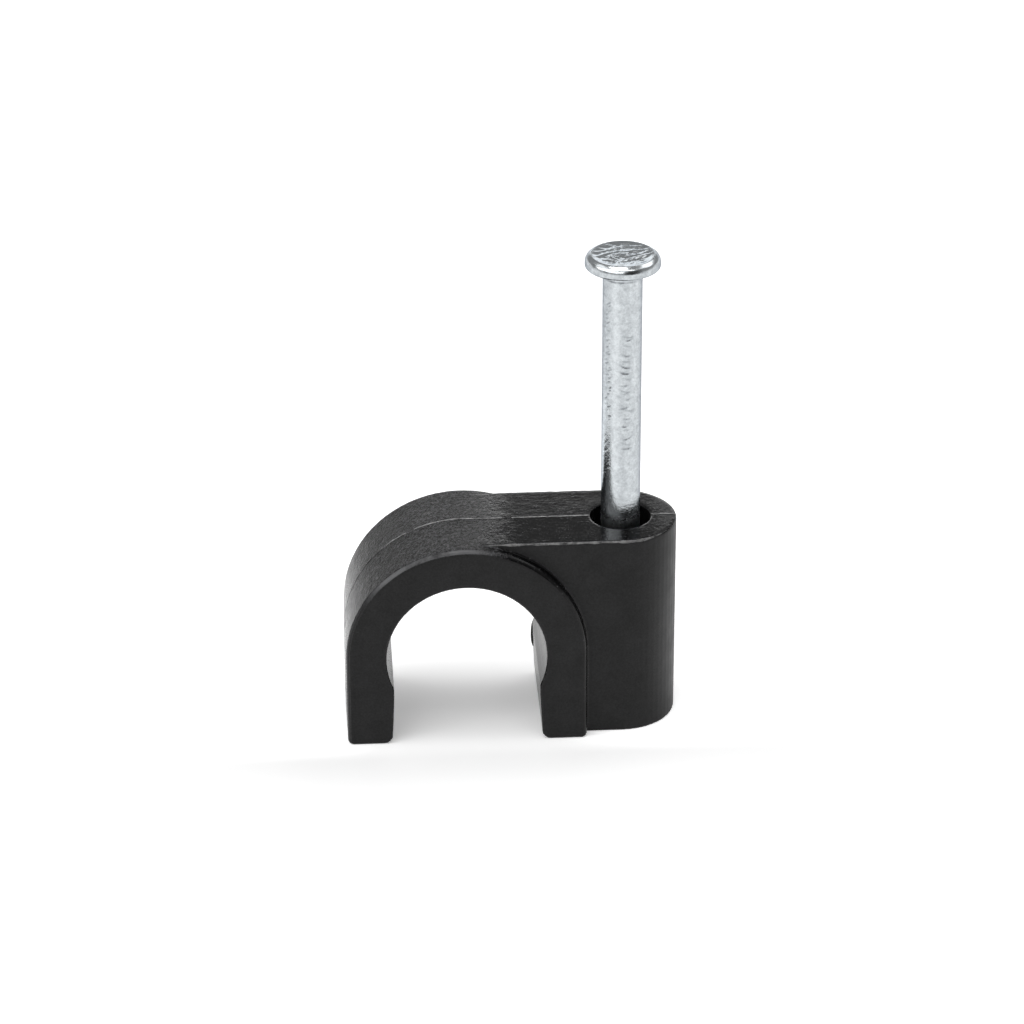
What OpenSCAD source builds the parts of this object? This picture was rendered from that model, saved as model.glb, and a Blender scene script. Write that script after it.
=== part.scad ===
// Nail-in cable clip for one round cable: a moulded saddle with a nail boss, and its nail.
// X runs from the cable to the nail, Y along the cable and Z away from the wall.
// The origin is on the wall, at the middle of the clip's footprint.

/* [Cable channel] */
// Diameter of the round channel
cable_d = 8; // [4:0.5:20]
// Height of the channel's lowest point above the wall
channel_rise = 0.7; // [0.4:0.1:2]
// How far each lip reaches in past the side of the channel
lip_grip = 0.35; // [0.1:0.05:0.6]
// Height of the straight land on each lip, below the channel
lip_land = 0.5; // [0.1:0.05:0.8]
// How far each leg's inner wall leans outward between that land and the foot
leg_flare = 0.12; // [0:0.02:0.3]
// Bevel round both mouths of the channel
channel_bevel = 0.1; // [0.02:0.02:0.3]

/* [Saddle] */
// Thickness of the saddle's wall at its sides, at the parting plane
saddle_wall = 2.05; // [1:0.05:4]
// How much thicker that wall is at the crown than at the sides
crown_extra = 0.1; // [0:0.05:0.5]
// Depth of the saddle along the cable
saddle_depth = 6.8; // [6:0.1:14]
// How much the outside shrinks from the parting plane to each face, so that the mould releases
draft = 0.05; // [0.01:0.01:0.15]
// Rounding of the saddle's outer edges
edge_r = 0.28; // [0.05:0.01:0.4]
// Rounding of the inner corner of each foot
toe_r = 0.45; // [0.1:0.05:0.6]
// Rounding of the outer corner of each foot
heel_r = 0.3; // [0.1:0.05:0.6]
// Rounding of the edges that meet the wall
sole_r = 0.08; // [0.04:0.02:0.3]

/* [Nail boss] */
// Plastic left between the channel and the mouth of the nail hole
boss_web = 2.35; // [0.8:0.05:6]
// Plastic left round the mouth of the nail hole
boss_wall = 1.3; // [0.6:0.05:3]
// How far the top of the boss lies below the crown of the saddle
boss_drop = 0.02; // [0.01:0.01:0.5]
// Rounding of the edge round the top of the boss
boss_edge_r = 0.1; // [0.04:0.01:0.4]
// Diameter of the mouth of the nail hole
mouth_d = 3; // [2.6:0.1:5]
// Depth of the straight part of that mouth
mouth_depth = 2; // [0.5:0.1:4]
// Length of the cone that leads from the mouth into the grip
throat_length = 1.2; // [0.4:0.1:3]
// Bevel round the mouth
mouth_bevel = 0.04; // [0.02:0.02:0.3]
// Room between the nail and the hole that grips it, on the diameter
grip_clearance = 0.02; // [0.01:0.01:0.1]

/* [Nail] */
// Diameter of the shank
nail_d = 1.95; // [1:0.05:2.4]
// Overall length of the nail, with its head
nail_length = 24.8; // [18:0.1:50]
// Diameter of the head
head_d = 3.7; // [3:0.05:6]
// Thickness of the head
head_thick = 0.65; // [0.5:0.05:1.5]
// Rounding of the upper edge of the head
head_r = 0.3; // [0.05:0.01:0.4]
// Rounding under the head, where it runs into the shank
neck_r = 0.2; // [0.05:0.05:0.4]
// Length of the four-sided point
point_length = 2.8; // [1.5:0.1:6]
// Height of the point's tip above the wall, before the nail is driven
tip_height = 0.2; // [0:0.1:2]

/* [Hidden] */
$fn = 96;

body_colour = [0.13, 0.13, 0.135];
nail_colour = [0.74, 0.76, 0.78];

// Cuts run this far past the faces that they open
over = 1;
// Straight steps in each small rounding of an outline
arc_steps = 6;

channel_r = cable_d / 2;
axis_z = channel_r + channel_rise;
saddle_r = channel_r + saddle_wall;
// Centre of the saddle's outer round
round_z = axis_z + crown_extra;
crown_z = round_z + saddle_r;
half_depth = saddle_depth / 2;

mouth_r = mouth_d / 2;
boss_r = mouth_r + boss_wall;
nail_offset = channel_r + boss_web + mouth_r;
boss_top = crown_z - boss_drop;
// The boss's top falls away from the parting plane as steeply as the saddle's crown does
boss_draft = draft * boss_r / half_depth;
grip_r = (nail_d + grip_clearance) / 2;

// The footprint is centred on the origin
channel_x = (saddle_r - nail_offset - boss_r) / 2;
nail_x = channel_x + nail_offset;

shank_r = nail_d / 2;
head_top = tip_height + nail_length;
head_under = head_top - head_thick;

// Inner wall of a leg, in the plane of the saddle with the channel's axis as the origin
lip_x = channel_r - lip_grip;
lip_z = -sqrt(pow(channel_r, 2) - pow(lip_x, 2)) - lip_land;
foot_x = lip_x + leg_flare;
wall_angle = atan2(leg_flare, lip_z + axis_z);

// Centre of the circle that rounds the foot's inner corner
toe_centre = [foot_x + toe_r * (1 - sin(wall_angle)) / cos(wall_angle), toe_r - axis_z];

function unit_of(angle) = [cos(angle), sin(angle)];
function arc(centre, radius, from, to) =
    [for (step = [0:arc_steps]) centre + radius * unit_of(from + (to - from) * step / arc_steps)];
function mirrored(points) = [for (i = [len(points) - 1:-1:0]) [-points[i].x, points[i].y]];

// Half of a section that is widest at the parting plane, with the corner at its face rounded.
// X is the distance from the middle of the piece and Y the distance from the parting plane.
module drafted_half(reach, depth, fall, corner) {
    slope = atan2(fall, depth);
    centre_y = depth - corner;
    centre_x = reach - fall * centre_y / depth - corner / cos(slope);
    polygon(concat(
        [[0, 0], [reach, 0]],
        arc([centre_x, centre_y], corner, slope, 90),
        [[0, depth]]
    ));
}

// The same section on both sides of the parting plane
module drafted_section(reach, depth, fall, corner) {
    drafted_half(reach, depth, fall, corner);
    mirror([0, 1]) drafted_half(reach, depth, fall, corner);
}

// What is cut away to round a square corner at the origin, with the material toward +X and +Y
module corner_waste(radius) {
    polygon(concat(
        [[-over, radius], [-over, -over], [radius, -over]],
        arc([radius, radius], radius, 270, 180)
    ));
}

// Turns a drawing in the plane of the saddle into a solid that runs along the cable
module along_cable(length) {
    rotate([90, 0, 0]) linear_extrude(length, center = true) children();
}

// Outer form of the saddle: a half round on two straight legs
module saddle_form() {
    translate([channel_x, 0, round_z]) {
        rotate([90, 0, 0]) rotate_extrude(angle = 180)
            drafted_section(saddle_r, half_depth, draft, edge_r);
        translate([0, 0, -round_z]) linear_extrude(round_z) {
            drafted_section(saddle_r, half_depth, draft, edge_r);
            mirror([1, 0]) drafted_section(saddle_r, half_depth, draft, edge_r);
        }
    }
}

// Half of the boss's section: X is the distance from the parting plane and Y the height
module boss_half() {
    slope = atan2(boss_draft, boss_r);
    top_x = boss_r - boss_edge_r;
    top_y = boss_top - boss_draft * top_x / boss_r - boss_edge_r / cos(slope);
    polygon(concat(
        [[0, 0]],
        arc([boss_r - sole_r, sole_r], sole_r, 270, 360),
        arc([top_x, top_y], boss_edge_r, 0, 90 - slope),
        [[0, boss_top]]
    ));
}

// Outer form of the boss: a straight block from the saddle's middle, with a half-round end
module boss_form() {
    translate([channel_x, 0, 0]) rotate([90, 0, 90]) linear_extrude(nail_offset) {
        boss_half();
        mirror([1, 0]) boss_half();
    }
    translate([nail_x, 0, 0]) rotate(-90) rotate_extrude(angle = 180) boss_half();
}

// The gap between the legs, below the channel, with straight lips and rounded feet
module leg_gap() {
    one_side = concat(
        [[lip_x, 0], [lip_x, lip_z]],
        arc(toe_centre, toe_r, 180 + wall_angle, 270),
        [[toe_centre.x, -axis_z - over]]
    );
    polygon(concat(one_side, mirrored(one_side)));
}

// Half of the round channel's section, with a bevel at each face.
// X is the distance from the channel's axis and Y the distance from the parting plane.
module channel_half() {
    wall_end = half_depth - channel_bevel;
    flare = channel_bevel + over;
    polygon([
        [0, -wall_end - flare],
        [channel_r + flare, -wall_end - flare],
        [channel_r, -wall_end],
        [channel_r, wall_end],
        [channel_r + flare, wall_end + flare],
        [0, wall_end + flare]
    ]);
}

// The channel for the cable, open toward the wall
module channel() {
    translate([channel_x, 0, axis_z]) {
        along_cable(saddle_depth + 2 * over) leg_gap();
        rotate([90, 0, 0]) rotate_extrude() channel_half();
    }
}

// The roundings of the saddle's feet: their outer corners, and both faces at the wall
module foot_roundings() {
    sole_length = 2 * saddle_r + 2 * over;
    translate([channel_x, 0, 0]) for (side = [0, 1]) {
        mirror([side, 0, 0]) translate([-saddle_r, 0, 0])
            along_cable(saddle_depth + 2 * over) corner_waste(heel_r);
        mirror([0, side, 0]) translate([-sole_length / 2, -half_depth, 0])
            rotate([90, 0, 90]) linear_extrude(sole_length) corner_waste(sole_r);
    }
}

// Half of the nail hole's section: the grip, a cone, a wide mouth and the bevel round it
module nail_hole_half() {
    mouth_floor = boss_top - mouth_depth;
    rim = boss_top - boss_draft * mouth_r / boss_r - mouth_bevel;
    flare = mouth_bevel + over;
    polygon([
        [0, -over],
        [grip_r, -over],
        [grip_r, mouth_floor - throat_length],
        [mouth_r, mouth_floor],
        [mouth_r, rim],
        [mouth_r + flare, rim + flare],
        [0, rim + flare]
    ]);
}

// The stepped hole that holds the nail
module nail_hole() {
    translate([nail_x, 0, 0]) rotate_extrude() nail_hole_half();
}

module clip_body() {
    color(body_colour) difference() {
        union() {
            difference() {
                saddle_form();
                foot_roundings();
            }
            boss_form();
        }
        channel();
        nail_hole();
    }
}

// Half of the nail's turned section: the head, the neck and the shank
module nail_half() {
    translate([0, tip_height]) square([shank_r, head_under - tip_height + head_thick / 2]);
    rim_x = head_d / 2 - head_r;
    rim_z = head_top - head_r;
    translate([0, head_under]) square([head_d / 2, head_thick - head_r]);
    translate([0, rim_z - head_r / 2]) square([rim_x, head_r * 3 / 2]);
    translate([rim_x, rim_z]) circle(head_r);
    difference() {
        translate([0, head_under - neck_r]) square([shank_r + neck_r, neck_r]);
        translate([shank_r + neck_r, head_under - neck_r]) circle(neck_r);
    }
}

// A wedge that is sharp at the tip of the nail and as wide as the shank at the point's shoulder
module point_wedge() {
    half_width = shank_r * (head_top - tip_height) / point_length;
    rotate([90, 0, 0]) linear_extrude(head_d + 2 * over, center = true) polygon([
        [0, tip_height],
        [half_width, head_top],
        [half_width, head_top + over],
        [-half_width, head_top + over],
        [-half_width, head_top]
    ]);
}

module nail() {
    color(nail_colour) translate([nail_x, 0, 0]) intersection() {
        rotate_extrude() nail_half();
        rotate(45) point_wedge();
        rotate(-45) point_wedge();
    }
}

clip_body();
nail();
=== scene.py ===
# Looks of the nail-in cable clip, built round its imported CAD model
import math
import random

import bmesh
import bpy
import numpy as np
from mathutils import Matrix, Vector, noise


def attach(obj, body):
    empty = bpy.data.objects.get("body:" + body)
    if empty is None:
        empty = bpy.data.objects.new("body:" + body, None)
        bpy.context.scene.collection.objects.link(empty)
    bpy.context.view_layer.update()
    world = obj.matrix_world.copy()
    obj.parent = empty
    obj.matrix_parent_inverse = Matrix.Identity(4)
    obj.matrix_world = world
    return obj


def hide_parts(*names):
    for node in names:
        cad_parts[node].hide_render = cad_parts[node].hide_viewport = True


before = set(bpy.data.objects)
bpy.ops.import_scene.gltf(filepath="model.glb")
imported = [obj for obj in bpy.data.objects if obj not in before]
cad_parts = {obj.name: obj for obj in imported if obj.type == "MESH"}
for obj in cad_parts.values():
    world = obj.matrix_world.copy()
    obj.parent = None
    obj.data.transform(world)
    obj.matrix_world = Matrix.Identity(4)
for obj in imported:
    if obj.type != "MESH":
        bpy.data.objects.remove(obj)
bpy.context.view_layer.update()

MM = 0.001
SEED = 11

# The CAD model's own sizes, in millimetres
CHANNEL_X = -2.3
CHANNEL_R = 4.0
LEG_GAP = 3.66
CHANNEL_Z = 4.7
ROUND_Z = 4.8
SADDLE_R = 6.05
HALF_DEPTH = 3.4
BOSS_R = 2.8
BOSS_TOP = 10.83
BOSS_DRAFT = 0.041
BOSS_EDGE_R = 0.1
MOUTH_R = 1.5
NAIL_X = 5.55
SHANK_R = 0.975
NAIL_TIP = 0.2
NAIL_TOP = 25.0
POINT_LENGTH = 2.8
HEAD_R = 1.85
HEAD_THICK = 0.65
RIM_R = 0.3
UNDER_R = 0.12
NECK_R = 0.2

# Camera, fitted to the photograph's 1024 by 1024 frame
FRAME_PX = 1024
SENSOR_MM = 36.0
FOCAL_PX = 4000.0
PX_PER_MM = 19.834
TARGET_PX = (463.945, 624.883)
ELEVATION = 27.577
AZIMUTH = -3.189
ROLL = -0.224


def add_camera():
    """The camera of the photograph, placed so that the channel's axis falls on its pixel."""
    elevation, azimuth, roll = (math.radians(a) for a in (ELEVATION, AZIMUTH, ROLL))
    flat = math.cos(elevation)
    back = Vector((math.sin(azimuth) * flat, -math.cos(azimuth) * flat, math.sin(elevation)))
    level = Vector((math.cos(azimuth), math.sin(azimuth), 0.0))
    upright = back.cross(level)
    right = math.cos(roll) * level + math.sin(roll) * upright
    up = math.cos(roll) * upright - math.sin(roll) * level
    distance = FOCAL_PX / PX_PER_MM
    across = (TARGET_PX[0] - FRAME_PX / 2) / FOCAL_PX * distance
    above = (FRAME_PX / 2 - TARGET_PX[1]) / FOCAL_PX * distance
    target = Vector((CHANNEL_X, 0.0, ROUND_Z))
    place = (target - across * right - above * up + distance * back) * MM
    data = bpy.data.cameras.new("camera")
    data.sensor_fit = "HORIZONTAL"
    data.sensor_width = SENSOR_MM
    data.lens = FOCAL_PX * SENSOR_MM / FRAME_PX
    data.clip_start = 0.001
    data.clip_end = 20.0
    camera = bpy.data.objects.new("camera", data)
    turn = Matrix((right, up, back)).transposed().to_4x4()
    camera.matrix_world = Matrix.Translation(place) @ turn
    bpy.context.scene.collection.objects.link(camera)
    bpy.context.scene.camera = camera


def new_object(name, mesh):
    obj = bpy.data.objects.new(name, mesh)
    bpy.context.scene.collection.objects.link(obj)
    return obj


class Nodes:
    """A short way to write a node tree."""

    def __init__(self, tree):
        self.tree = tree
        self.tree.nodes.clear()

    def add(self, kind, **inputs):
        settings = inputs.pop("settings", {})
        node = self.tree.nodes.new(kind)
        for key, value in settings.items():
            setattr(node, key, value)
        for key, value in inputs.items():
            self.set(node, key, value)
        return node

    def set(self, node, key, value):
        socket = self.socket(node, key)
        if isinstance(value, bpy.types.NodeSocket):
            self.tree.links.new(value, socket)
        else:
            socket.default_value = value

    @staticmethod
    def socket(node, key):
        plain = key.replace("_", " ").lower()
        for socket in node.inputs:
            if socket.enabled and socket.name.lower() == plain:
                return socket
        return node.inputs[int(key.lstrip("i"))]

    def math(self, operation, a, b=None, clamp=False):
        node = self.add("ShaderNodeMath", settings={"operation": operation, "use_clamp": clamp}, i0=a)
        if b is not None:
            self.set(node, "i1", b)
        return node.outputs[0]

    def remap(self, value, low, high, to_low, to_high):
        node = self.add("ShaderNodeMapRange", value=value, from_min=low, from_max=high,
                        to_min=to_low, to_max=to_high)
        return node.outputs[0]

    def noise(self, vector, size_mm, detail=2.0, roughness=0.5):
        node = self.add("ShaderNodeTexNoise", vector=vector, scale=1.0 / (size_mm * MM),
                        detail=detail, roughness=roughness)
        return node.outputs["Fac"]

    def stretched(self, vector, scale):
        node = self.add("ShaderNodeMapping", vector=vector, scale=scale)
        return node.outputs[0]

    def ramp(self, value, stops):
        """A ramp of colours, from stops that each have a place and a colour."""
        node = self.add("ShaderNodeValToRGB", fac=value)
        elements = node.color_ramp.elements
        while len(elements) < len(stops):
            elements.new(0.5)
        for element, (place, colour) in zip(elements, stops):
            element.position = place
            element.color = (*colour, 1.0)
        return node.outputs["Color"]


def new_material(name):
    material = bpy.data.materials.new(name)
    material.use_nodes = True
    return material, Nodes(material.node_tree)


# Studio

FLOOR_COLOUR = 0.93
# Extra brightness of the floor in the open and under the arch, to the camera and in reflections
CAMERA_GLOW = (0.5, 0.2)
FRONT_GLOW = (0.1, 0.2)
MIRROR_GLOW = (0.24, 0.2)
# Where the painted shade under the arch lies on the floor: its middle, and where it starts and ends to fade
SHADE_X = CHANNEL_X + 0.4
SHADE_ASIDE = (3.0, 8.5)
SHADE_BEHIND = (-0.5, 6.5)
SHADE_BEFORE = (2.0, 7.0)
# Pools of light on the floor that only reflections show: middle, radius and extra brightness
POOLS = (((-15.0, 15.0), 16.0, 0.6), ((17.0, 0.0), 9.0, 0.5))
# Where painted shade in front of the object dims the floor, and where it is bright again
FRONT_DIMS = (3.2, 5.0)
FRONT_OPEN = (5.0, 9.0)
FLOOR_HALF = 4.0
# Brightness of the surroundings against the sine of the elevation: a low white backdrop, then grey
WORLD_STOPS = ((0.0, 1.0), (0.1, 1.0), (0.22, 0.32), (0.7, 0.27), (1.0, 0.3))
# Upright panels behind, on the camera's side, to the left and to the right: azimuth, half width,
# bottom and top as sines of the elevation, how soft those two edges are, and brightness
PANELS = ((87.0, 0.17, -0.1, 0.36, 0.03, 1.7),
          (-66.0, 0.28, 0.16, 0.55, 0.14, 0.05),
          (-140.0, 0.5, 0.4, 0.58, 0.08, 2.8),
          (31.0, 0.22, 0.6, 0.82, 0.08, 1.8))
# How soft a panel's upright edges are
PANEL_FADE = 0.25
# The softboxes overhead: name, place in metres, size across and along the view, and brightness
SOFTBOXES = (("strip", (-0.45, -0.7, 1.6), 2.8, 0.4, 2.5),
             ("overhead", (-0.2, -0.1, 1.75), 0.8, 0.8, 3.2),
             ("left", (-1.1, 0.1, 1.5), 0.6, 1.4, 1.0))


def toward(azimuth):
    """The level direction at an azimuth in degrees."""
    turn = math.radians(azimuth)
    return Vector((math.cos(turn), math.sin(turn), 0.0))


def ramped(n, value, low, high, to_low, to_high):
    """A soft step of a value."""
    node = n.add("ShaderNodeMapRange", settings={"interpolation_type": "SMOOTHSTEP"}, value=value,
                 from_min=low, from_max=high, to_min=to_low, to_max=to_high)
    return node.outputs[0]


def comes_in(n, value, stretch):
    """0 before a stretch in millimetres and 1 past it."""
    return ramped(n, value, stretch[0] * MM, stretch[1] * MM, 0.0, 1.0)


def goes_out(n, value, stretch):
    """1 before a stretch in millimetres and 0 past it."""
    return ramped(n, value, stretch[0] * MM, stretch[1] * MM, 1.0, 0.0)


def mixed(n, share, a, b, kind="FLOAT"):
    node = n.add("ShaderNodeMix", settings={"data_type": kind}, factor=share, a=a, b=b)
    return next(socket for socket in node.outputs if socket.enabled)


def floor_material():
    """White to the camera and in reflections, with the object's shadow on it and painted shade under the arch
    and in front.
    """
    material, n = new_material("studio_floor")
    path = n.add("ShaderNodeLightPath").outputs
    lit = n.add("ShaderNodeBsdfDiffuse", color=(FLOOR_COLOUR, FLOOR_COLOUR, FLOOR_COLOUR, 1.0))
    where = n.add("ShaderNodeTexCoord").outputs["Object"]
    part = n.add("ShaderNodeSeparateXYZ", vector=where).outputs
    aside = n.math("ABSOLUTE", n.math("SUBTRACT", part["X"], SHADE_X * MM))
    before = n.math("MULTIPLY", part["Y"], -1.0)
    shade = 1.0
    for reach, stretch in ((aside, SHADE_ASIDE), (part["Y"], SHADE_BEHIND), (before, SHADE_BEFORE)):
        shade = n.math("MULTIPLY", goes_out(n, reach, stretch), shade)
    reflected = n.remap(shade, 0.0, 1.0, *MIRROR_GLOW)
    for (x, y), radius, extra in POOLS:
        away = n.add("ShaderNodeVectorMath", settings={"operation": "DISTANCE"},
                     i0=where, i1=(x * MM, y * MM, 0.0)).outputs["Value"]
        pool = ramped(n, away, 0.5 * radius * MM, radius * MM, extra, 0.0)
        reflected = n.math("ADD", reflected, pool)
    mirrored = n.math("MAXIMUM", path["Is Glossy Ray"], path["Is Transmission Ray"])
    near_front = ramped(n, before, *(MM * y for y in FRONT_DIMS), CAMERA_GLOW[0] - FRONT_GLOW[0], 0.0)
    front = ramped(n, before, *(MM * y for y in FRONT_OPEN), *FRONT_GLOW)
    direct = mixed(n, shade, n.math("ADD", near_front, front), CAMERA_GLOW[1])
    strength = n.math("ADD", n.math("MULTIPLY", path["Is Camera Ray"], direct),
                      n.math("MULTIPLY", mirrored, reflected))
    glow = n.add("ShaderNodeEmission", strength=strength)
    both = n.add("ShaderNodeAddShader", i0=lit.outputs[0], i1=glow.outputs[0])
    n.add("ShaderNodeOutputMaterial", surface=both.outputs[0])
    return material


def add_floor():
    mesh = bpy.data.meshes.new("floor")
    half = FLOOR_HALF
    mesh.from_pydata([(-half, -half, 0), (half, -half, 0), (half, half, 0), (-half, half, 0)], [],
                     [(0, 1, 2, 3)])
    floor = new_object("floor", mesh)
    mesh.materials.append(floor_material())


def along(n, direction, axis):
    """How far a direction reaches along an axis."""
    node = n.add("ShaderNodeVectorMath", settings={"operation": "DOT_PRODUCT"}, i0=direction)
    node.inputs[1].default_value = axis
    return node.outputs["Value"]


def with_panel(n, level, direction, height, panel):
    """The surroundings' level, with an upright panel of its own level in them."""
    azimuth, reach, bottom, top, soft, panel_level = panel
    aside = n.math("ABSOLUTE", along(n, direction, toward(azimuth - 90.0)))
    facing = along(n, direction, toward(azimuth))
    share = n.math("MULTIPLY", ramped(n, aside, reach, reach + PANEL_FADE, 1.0, 0.0),
                   ramped(n, facing, 0.0, PANEL_FADE, 0.0, 1.0))
    share = n.math("MULTIPLY", share, ramped(n, height, bottom - soft, bottom, 0.0, 1.0))
    share = n.math("MULTIPLY", share, ramped(n, height, top, top + soft, 1.0, 0.0))
    change = n.math("MULTIPLY", share, n.math("SUBTRACT", panel_level, level))
    return n.math("ADD", level, change)


def add_world():
    """A low white backdrop all round, a grey room above it, and the studio's panels in them."""
    world = bpy.data.worlds.new("studio")
    world.use_nodes = True
    bpy.context.scene.world = world
    n = Nodes(world.node_tree)
    direction = n.add("ShaderNodeTexCoord").outputs["Generated"]
    height = n.add("ShaderNodeSeparateXYZ", vector=direction).outputs["Z"]
    level = n.ramp(height, [(place, (grey, grey, grey)) for place, grey in WORLD_STOPS])
    for panel in PANELS:
        level = with_panel(n, level, direction, height, panel)
    shader = n.add("ShaderNodeBackground", color=level, strength=1.0)
    n.add("ShaderNodeOutputWorld", surface=shader.outputs[0])


def add_softbox(name, place, width, depth, brightness):
    """A softbox over the object, turned toward it."""
    data = bpy.data.lights.new(name, "AREA")
    data.shape = "RECTANGLE"
    data.size, data.size_y = width, depth
    data.energy = brightness * math.pi * width * depth
    lamp = bpy.data.objects.new(name, data)
    place = Vector(place)
    away = place.normalized()
    side = (Vector((1.0, 0.0, 0.0)) - away * away.x).normalized()
    turn = Matrix((side, away.cross(side), away)).transposed().to_4x4()
    lamp.matrix_world = Matrix.Translation(place) @ turn
    bpy.context.scene.collection.objects.link(lamp)


def add_studio():
    bpy.context.scene.view_settings.view_transform = "Standard"
    add_floor()
    add_world()
    for softbox in SOFTBOXES:
        add_softbox(*softbox)


# Materials

# Noise of the plastic: size in millimetres, detail and roughness
CLOUD = (1.2, 4.0, 0.6)
COARSE = (0.2, 4.0, 0.65)
FINE = (0.11, 3.0, 0.6)
SCRATCHES = (0.12, 3.0, 0.6)
GRAIN_STRETCH = (1.2, 0.8, 1.2)
SCRATCH_STRETCH = (0.12, 1.0, 1.0)
# The middle stretch of a noise's values
NOISE_SPAN = (0.3, 0.7)
# How far a normal leans while a face, an edge or the boss's round end takes over
FACE_TURNS = (0.86, 0.97)
EDGE_TURNS = (0.1, 0.4)
END_TURNS = (0.3, 0.6)
# Where finishes come in and go out, in millimetres: along X on the boss, and upward on the saddle
BOSS_END = (5.0, 5.6)
BOSS_BORDER = (-2.9, 0.6)
BORDER_WANDER = 2.0
BOSS_TIP = (6.6, 8.0)
TIP_SHARE = 0.82
FLANK_ENDS = (5.5, 9.0)
SHOULDER_STARTS = (6.8, 8.4)
SHOULDER_ENDS = (9.6, 10.5)
CROWN_STARTS = (10.0, 10.7)
ARCH_TOP_STARTS = (7.5, 10.0)
# Reach of the channel's walls from its axis, and the most that their normals lean to a face
CHANNEL_REACH = CHANNEL_R + 0.06
CHANNEL_LEAN = 0.5
# Depth of the grain in millimetres, its parts on the boss, and what each finish leaves of it
GRAIN_DEPTH = 0.14
BOSS_GRAIN = 0.07
SCRATCH_GRAIN = 0.045
SMUDGE_GRAIN = 0.14
GRAIN_LEFT = (("channel", 0.3), ("edge", 0.12), ("satin", 0.14), ("flank", 0.65))
# Roughness of each finish, or how much smoother it is than the grained top
TOP_ROUGH = (0.4, 0.52)
BOSS_SMOOTHER = 0.4
LEAST_ROUGH = 0.05
FLANK_SMOOTHER = 0.2
EDGE_ROUGH = 0.2
SATIN_ROUGH = (0.36, 0.5)
CHANNEL_ROUGH = 0.2
# Speckle of the grain: the shares of its noises, and how each place calms, darkens or pales it
COARSE_SHARE = 0.4
FINE_SHARE = 0.6
FLANK_CALM = (0.6, 0.53)
BOSS_CALM = (0.35, 0.52)
# Painted shade on the shoulders and painted light on the crown, for how the light falls on them
SHOULDER_DARKER = 0.035
CROWN_PALER = 0.022
BOSS_SMUDGES = (-0.125, -0.045)
SCRATCH_SHOWS = (0.58, 0.74)
SCRATCH_PALER = 0.13
# Painted highlight along the edges: the speck level on the lower edges, and its span and range on the arch's
# top
EDGE_HIGHLIGHT_LOW = 0.48
EDGE_HIGHLIGHT_SPAN = (0.32, 0.68)
EDGE_HIGHLIGHT_TOP = (0.52, 0.88)
# Tones of the plastic: where the dark one ends, its level, where the pale one starts, its level
GRAINED_TONES = (0.465, 0.003, 0.68, 0.095)
SATIN_TONES = (0.38, 0.0015, 0.66, 0.012)
DARK_BLUE = 1.06
PALE_BLUE = 1.04
PLASTIC_SPECULAR = 0.23
# Paled plastic, partly stress-whitened and partly a painted highlight, with painted shade low down: noises of
# its tone and its roughness, and the height over which it pales
PALED = (0.3, 4.0, 0.6)
PALED_SPAN = (0.3, 0.62)
PALED_DULL = (0.4, 2.0, 0.5)
PALED_ROUGH = (0.22, 0.36)
PALED_STARTS = (8.8, 10.2)
LOW_PAINTED_SHADE = (0.002, 0.002, 0.002, 1.0)
PALED_SPECULAR = 0.3
# Noise of the zinc: size in millimetres, detail and roughness
MOTTLE = (0.3, 5.0, 0.62)
CRYSTALS = (0.1, 3.0, 0.6)
WIRE_LINES = (0.06, 2.0, 0.5)
WIRE_STRETCH = (1.0, 1.0, 0.05)
# Relief of the zinc: depth in millimetres, shares of its noises, and what the head has of it
ZINC_DEPTH = 0.012
CRYSTAL_RISE = 0.6
LINE_RISE = 0.3
HEAD_STARTS = (24.2, 24.4)
HEAD_RELIEF = 0.4
# Roughness of the zinc, and how much duller it is down in the hole
ZINC_ROUGH = (0.1, 0.22)
HOLE_ENDS = (10.8, 11.4)
HOLE_DULLER = 0.16
# Shares of the noises, the bands of painted reflection and the painted shade in the zinc's tone, and the
# tones themselves
MOTTLE_TONE = 0.4
CRYSTAL_TONE = 0.3
BAND_TONE = 0.3
PAINTED_SHADE_TONE = 0.22
ZINC_TONES = ((0.2, (0.16, 0.17, 0.18)), (0.38, (0.37, 0.395, 0.415)), (0.62, (0.66, 0.695, 0.715)))
ZINC_TINT = (0.45, 0.47, 0.5, 1.0)


def inside_channel(n, where, flatness):
    """1 on the walls that the cable touches, which the mould's polished core shapes."""
    part = n.add("ShaderNodeSeparateXYZ", vector=where).outputs
    aside = n.math("SUBTRACT", part["X"], CHANNEL_X * MM)
    above = n.math("MAXIMUM", n.math("SUBTRACT", part["Z"], CHANNEL_Z * MM), 0.0)
    squares = n.math("ADD", n.math("MULTIPLY", aside, aside), n.math("MULTIPLY", above, above))
    near = n.math("LESS_THAN", n.math("SQRT", squares), CHANNEL_REACH * MM)
    return n.math("MULTIPLY", near, n.math("LESS_THAN", flatness, CHANNEL_LEAN))


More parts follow.
